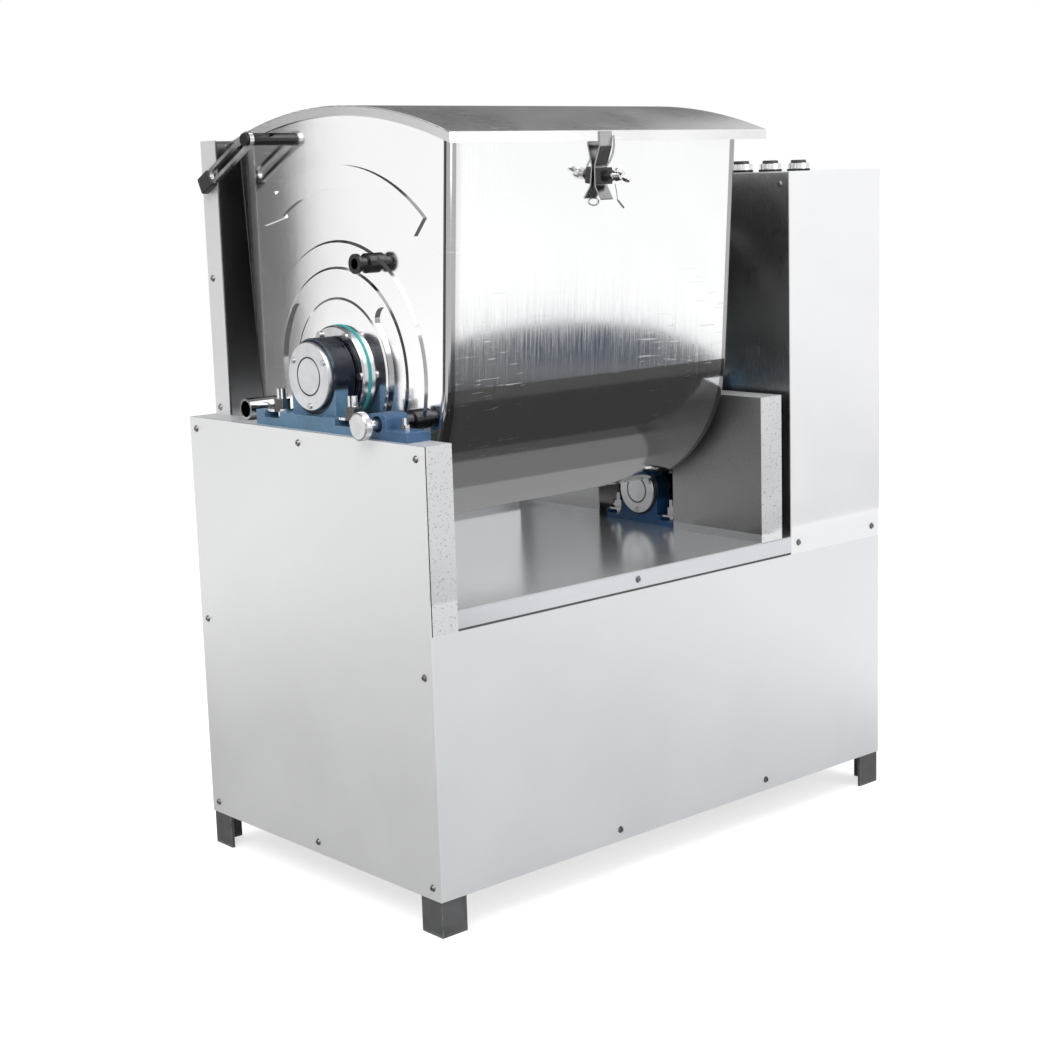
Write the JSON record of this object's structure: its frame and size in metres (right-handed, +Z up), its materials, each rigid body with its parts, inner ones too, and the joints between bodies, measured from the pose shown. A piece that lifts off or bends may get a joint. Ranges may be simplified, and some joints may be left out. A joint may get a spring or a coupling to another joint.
{
  "type": "tilting dough mixer",
  "caption": "Tilting horizontal dough mixer: lidded stainless trough on a main shaft between low pedestals, with mixing arms and a geared belt drive in a tall side column.",
  "frame": {"origin": "on the floor, under the middle of the bounding box", "axes": "+X to the machine's right (the drive column), +Y to its back, +Z up"},
  "size_m": [0.8424, 0.5224, 0.972],
  "materials": {
    "base_frame": "dark grey painted angle iron",
    "bench_plate": "dark grey painted angle iron",
    "left_end_panel": "pale stainless sheet",
    "right_end_panel": "pale stainless sheet",
    "front_panel": "pale stainless sheet",
    "back_panel": "pale stainless sheet",
    "deck_sheet": "satin stainless sheet",
    "left_pedestal": "satin stainless sheet",
    "right_pedestal": "satin stainless sheet",
    "column_left_wall": "satin stainless sheet",
    "column_front_panel": "pale stainless sheet",
    "column_back_panel": "pale stainless sheet",
    "column_top_panel": "pale stainless sheet",
    "rear_guard": "satin stainless sheet",
    "left_bearing_housing": "blue enamel on cast iron",
    "right_bearing_housing": "blue enamel on cast iron",
    "pinion_left_housing": "blue enamel on cast iron",
    "pinion_right_housing": "blue enamel on cast iron",
    "bearing_caps": "cast caps",
    "cap_screws": "zinc plated",
    "bearings": "turned and polished",
    "shaft_seals": "nitrile",
    "housing_bolts": "zinc plated",
    "lock_block": "blue enamel on cast iron",
    "motor_body": "enamel",
    "motor_plate": "dark grey painted angle iron",
    "v_belts": "rubber belt",
    "panel_screws": "zinc plated",
    "switch_bodies": "bezels on plastic bodies",
    "cable_gland": "nylon",
    "bowl_shell": "polished stainless sheet",
    "bowl_left_plate": "pressed stainless sheet",
    "bowl_right_plate": "pressed stainless sheet",
    "bowl_hubs": "turned steel",
    "hub_screws": "zinc plated",
    "hub_gaskets": "teal sealing ring",
    "bowl_stop_tube": "satin stainless sheet",
    "lock_sockets": "turned and polished",
    "handle_pivot": "zinc plated",
    "bowl_hinge_leaves": "satin stainless sheet",
    "lid_hinge_pins": "turned and polished",
    "lid_cover": "satin stainless sheet",
    "lid_hinge_leaves": "satin stainless sheet",
    "clamp_strap": "satin stainless sheet",
    "clamp_block": "black block with nut",
    "wing_screw": "turned and polished",
    "handle_link": "turned and polished",
    "handle_grip": "dark grip",
    "main_shaft": "turned and polished",
    "mixing_arms": "polished stainless bar",
    "main_gear": "machined cast iron",
    "pinion_shaft": "machined steel",
    "large_pulley": "machined cast iron",
    "motor_rotor": "machined cast iron",
    "lock_pin": "turned and polished",
    "start_button": "green",
    "stop_button": "red",
    "reverse_button": "green"
  },
  "bodies": {
    "base": {"base_frame": "base_frame", "bench_plate": "bench_plate", "left_end_panel": "left_end_panel", "right_end_panel": "right_end_panel", "front_panel": "front_panel", "back_panel": "back_panel", "deck_sheet": "deck_sheet", "left_pedestal": "left_pedestal", "right_pedestal": "right_pedestal", "column_left_wall": "column_left_wall", "column_front_panel": "column_front_panel", "column_back_panel": "column_back_panel", "column_top_panel": "column_top_panel", "rear_guard": "rear_guard", "left_bearing_housing": "left_bearing_housing", "right_bearing_housing": "right_bearing_housing", "pinion_left_housing": "pinion_left_housing", "pinion_right_housing": "pinion_right_housing", "bearing_caps": "bearing_caps", "cap_screws": "cap_screws", "bearings": "bearings", "shaft_seals": "shaft_seals", "housing_bolts": "housing_bolts", "lock_block": "lock_block", "motor_body": "motor_body", "motor_plate": "motor_plate", "v_belts": "v_belts", "panel_screws": "panel_screws", "switch_bodies": "switch_bodies", "cable_gland": "cable_gland"},
    "bowl": {"bowl_shell": "bowl_shell", "bowl_left_plate": "bowl_left_plate", "bowl_right_plate": "bowl_right_plate", "bowl_hubs": "bowl_hubs", "hub_screws": "hub_screws", "hub_gaskets": "hub_gaskets", "bowl_stop_tube": "bowl_stop_tube", "lock_sockets": "lock_sockets", "handle_pivot": "handle_pivot", "bowl_hinge_leaves": "bowl_hinge_leaves", "lid_hinge_pins": "lid_hinge_pins"},
    "lid": {"lid_cover": "lid_cover", "lid_hinge_leaves": "lid_hinge_leaves", "clamp_strap": "clamp_strap", "clamp_block": "clamp_block"},
    "wing_screw": {"wing_screw": "wing_screw"},
    "handle": {"handle_link": "handle_link", "handle_grip": "handle_grip"},
    "agitator": {"main_shaft": "main_shaft", "mixing_arms": "mixing_arms", "main_gear": "main_gear"},
    "pinion": {"pinion_shaft": "pinion_shaft", "large_pulley": "large_pulley"},
    "rotor": {"motor_rotor": "motor_rotor"},
    "lock_pin": {"lock_pin": "lock_pin"},
    "start_button": {"start_button": "start_button"},
    "stop_button": {"stop_button": "stop_button"},
    "reverse_button": {"reverse_button": "reverse_button"}
  },
  "joints": [
    {"name": "bowl_tilt", "type": "hinge", "parent": "base", "child": "bowl", "pos_m": [-0.0872, -0.00577, 0.65], "axis": [1, 0, 0], "range_deg": [0, 82]},
    {"name": "lid_hinge", "type": "hinge", "parent": "bowl", "child": "lid", "pos_m": [-0.0872, 0.21523, 0.927], "axis": [-1, 0, 0], "range_deg": [0, 90]},
    {"name": "wing_screw_turn", "type": "hinge", "parent": "lid", "child": "wing_screw", "pos_m": [-0.0912, -0.22377, 0.879], "axis": [0, 1, 0], "continuous": true},
    {"name": "handle_swing", "type": "hinge", "parent": "bowl", "child": "handle", "pos_m": [-0.3672, 0.12523, 0.937], "axis": [1, 0, 0], "range_deg": [0, 140]},
    {"name": "lock_pin_slide", "type": "slide", "parent": "base", "child": "lock_pin", "axis": [1, 0, 0], "range_m": [0, 0.018]},
    {"name": "agitator_spin", "type": "hinge", "parent": "base", "child": "agitator", "pos_m": [-0.0872, -0.00577, 0.65], "axis": [1, 0, 0], "continuous": true},
    {"name": "pinion_spin", "type": "hinge", "parent": "base", "child": "pinion", "pos_m": [0.2788, -0.00577, 0.438], "axis": [1, 0, 0], "continuous": true},
    {"name": "motor_spin", "type": "hinge", "parent": "base", "child": "rotor", "pos_m": [0.2988, -0.00577, 0.181], "axis": [1, 0, 0], "continuous": true},
    {"name": "start_button_press", "type": "slide", "parent": "base", "child": "start_button", "axis": [0, 0, -1], "range_m": [0, 0.004], "stiffness_N_per_m": 300, "springref_m": -0.001},
    {"name": "stop_button_press", "type": "slide", "parent": "base", "child": "stop_button", "axis": [0, 0, -1], "range_m": [0, 0.004], "stiffness_N_per_m": 300, "springref_m": -0.001},
    {"name": "reverse_button_press", "type": "slide", "parent": "base", "child": "reverse_button", "axis": [0, 0, -1], "range_m": [0, 0.004], "stiffness_N_per_m": 300, "springref_m": -0.001}
  ],
  "couplings": [
    {"joint": "pinion_spin", "follows": "agitator_spin", "ratio": -4.3},
    {"joint": "motor_spin", "follows": "agitator_spin", "ratio": -10.75}
  ]
}
